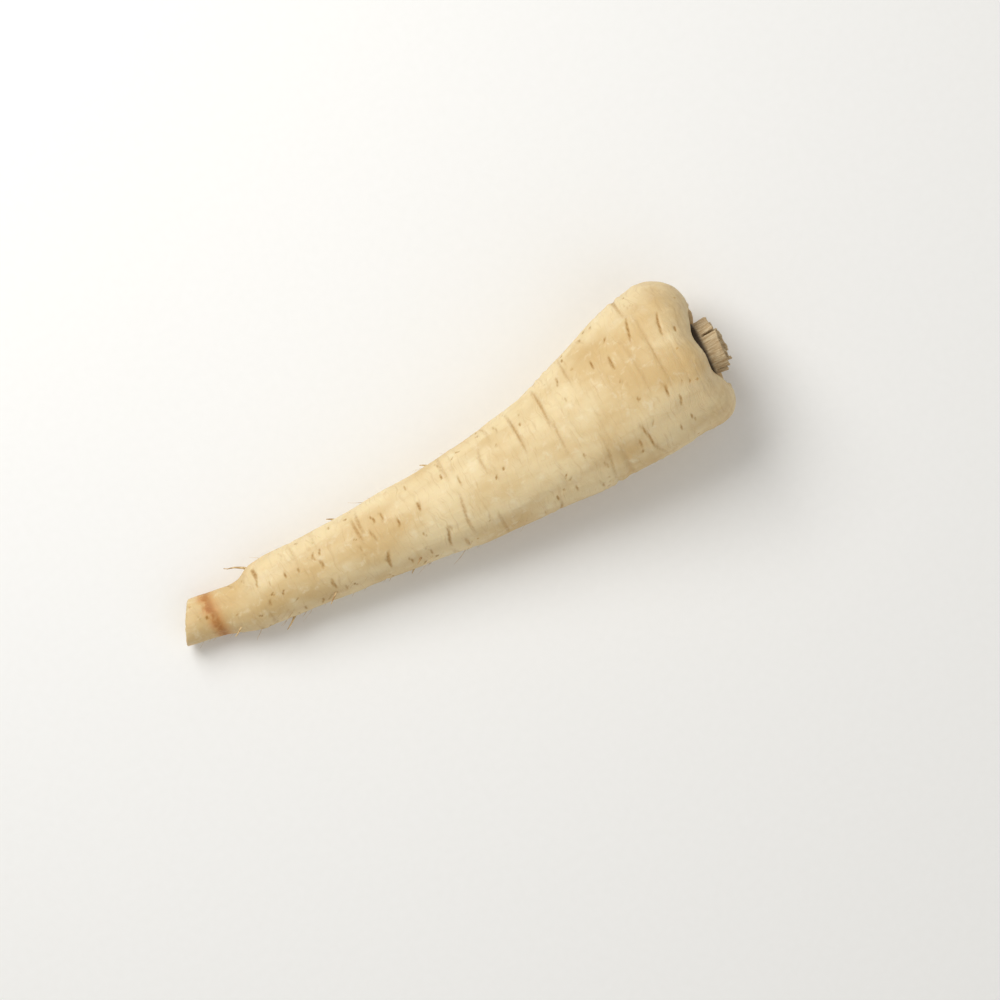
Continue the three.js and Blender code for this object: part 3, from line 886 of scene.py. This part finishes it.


# dry stalk bases: tan sides, paler cut tops with the dots of their bundles, near-black painted shade at
# their feet and between them
def stalkMaterial():
    look = {"side": paint(180, 152, 112), "dry": paint(214, 194, 156), "top": paint(216, 194, 152),
            "rim": paint(146, 110, 70), "dot": paint(112, 82, 48), "paintedShade": paint(50, 36, 22),
            "young": paint(186, 178, 118), "papery": paint(196, 170, 126)}
    material, graph, shader, place = newMaterial("stalkBase")
    cutTop, paintedShade = graph.attribute("cutTop"), graph.attribute("paintedShade")
    fibres = graph.noise(graph.vector("MULTIPLY", place, (0.25, 2.2, 2.2)), 1.0, 3.0, 0.6)
    mottle = graph.noise(place, 0.5, 4.0, 0.6)
    grain = graph.noise(place, 3.0, 3.0, 0.6)
    colour = graph.blend(graph.eased(fibres, 0.35, 0.68), look["side"], look["dry"])
    colour = graph.blend(graph.eased(mottle, 0.5, 0.75) * 0.5, colour, look["rim"])
    colour = graph.blend(graph.eased(grain, 0.45, 0.75) * 0.35, colour, look["papery"])
    top = graph.blend(graph.eased(grain, 0.4, 0.7) * 0.55, look["top"], look["rim"])
    young = 1 - graph.eased(graph.attribute("fromBud"), 0.15, 0.5)
    top = graph.blend(young * 0.5, top, look["young"])
    dots = 1 - graph.eased(graph.out(graph.cells(place, 1.05, 0.7), 0), 0.14, 0.27)
    top = graph.blend(dots * 0.7, top, look["dot"])
    colour = graph.blend(cutTop, colour, top)
    # near-black painted shade low on the stalk bases, at their feet and in the gaps between them
    graph.feed(shader, "Base Color", graph.blend(paintedShade * 0.95, colour, look["paintedShade"]))
    graph.feed(shader, "Roughness", 0.72 + 0.2 * grain)
    bumpOn(graph, shader, fibres * 0.2 + grain * 0.1 - dots * cutTop * 0.12)
    return material


# rootlets: drier and browner than the skin
def rootletMaterial():
    look = {"cream": paint(222, 196, 146), "brown": paint(168, 128, 78)}
    material, graph, shader, place = newMaterial("rootletSkin")
    mottle = graph.noise(place, 0.7, 3.0, 0.6)
    colour = graph.blend(graph.eased(mottle, 0.35, 0.7), look["cream"], look["brown"])
    graph.feed(shader, "Base Color", colour)
    graph.feed(shader, "Roughness", 0.6 + 0.2 * mottle)
    bumpOn(graph, shader, graph.noise(place, 4.0, 2.0) * 0.06)
    return material


root = makeRoot(skinMaterial())
print("root:", len(root.data.polygons), "faces")
threads = makeRootlets(rootletMaterial())
print("rootlets:", len(threads.data.polygons), "faces")
bases = makeStalkBases(stalkMaterial())
print("leaf-stalk bases:", len(bases.data.polygons), "faces")

for piece in (root, threads, bases):
    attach(piece, "root")
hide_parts("parsnip_root")
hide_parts("parsnip_root")
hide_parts("leaf_stalk_bases")

# the view: straight down, turned so that the crown lies to the upper right
view = {"turn": math.radians(28.9), "frameWidth": 0.288, "lens": 160, "sensor": 36, "planeHeight": 0.02,
        "centre": (-72.3, -12.4)}


def makeCamera():
    data = bpy.data.cameras.new("camera")
    data.lens = view["lens"]
    data.sensor_width = view["sensor"]
    camera = bpy.data.objects.new("camera", data)
    bpy.context.scene.collection.objects.link(camera)
    distance = view["frameWidth"] * view["lens"] / view["sensor"]
    spot = (Vector((*view["centre"], 0)) + rootMiddle) * mm
    camera.location = (spot.x, spot.y, view["planeHeight"] + distance)
    camera.rotation_euler = (0, 0, -view["turn"])
    bpy.context.scene.camera = camera


# paper floor, soft light from all round, and two soft lamps across the root from each other
stage = {"floorSize": 4.0, "floorColour": paint(244, 243, 240),
         "worldColour": (1.0, 0.99, 0.97, 1), "world": 0.4,
         "key": {"power": 4.7, "size": 0.5, "away": 0.5, "height": 0.62},
         "fill": {"power": 1.5, "size": 0.9, "away": -0.6, "height": 0.7}}


def makeLight(name, power, size, away, height):
    data = bpy.data.lights.new(name, "AREA")
    data.energy = power
    data.size = size
    light = bpy.data.objects.new(name, data)
    bpy.context.scene.collection.objects.link(light)
    turn = view["turn"]
    across = Vector((-math.cos(turn) + math.sin(turn), math.sin(turn) + math.cos(turn), 0)).normalized()
    light.location = across * away + Vector((0, 0, height))
    light.rotation_euler = (-light.location).to_track_quat("-Z", "Y").to_euler()


def makeStage():
    half = stage["floorSize"] / 2
    floor = meshPiece("floor", [(-half, -half, 0), (half, -half, 0), (half, half, 0), (-half, half, 0)],
                      [(0, 1, 2, 3)], smooth=False)
    material, graph, shader, place = newMaterial("floorPaper")
    white = stage["floorColour"]
    shade = (white[0] * 0.97, white[1] * 0.97, white[2] * 0.965, 1)
    graph.feed(shader, "Base Color", graph.blend(graph.noise(place, 0.4, 3.0), white, shade))
    shader.inputs["Roughness"].default_value = 0.8
    floor.data.materials.append(material)
    world = bpy.data.worlds.new("studio")
    world.use_nodes = True
    background = world.node_tree.nodes["Background"]
    background.inputs["Color"].default_value = stage["worldColour"]
    background.inputs["Strength"].default_value = stage["world"]
    bpy.context.scene.world = world
    for name in ("key", "fill"):
        makeLight(name, **stage[name])
    bpy.context.scene.view_settings.view_transform = "Standard"


makeCamera()
makeStage()
print("camera, floor and lights are in place")
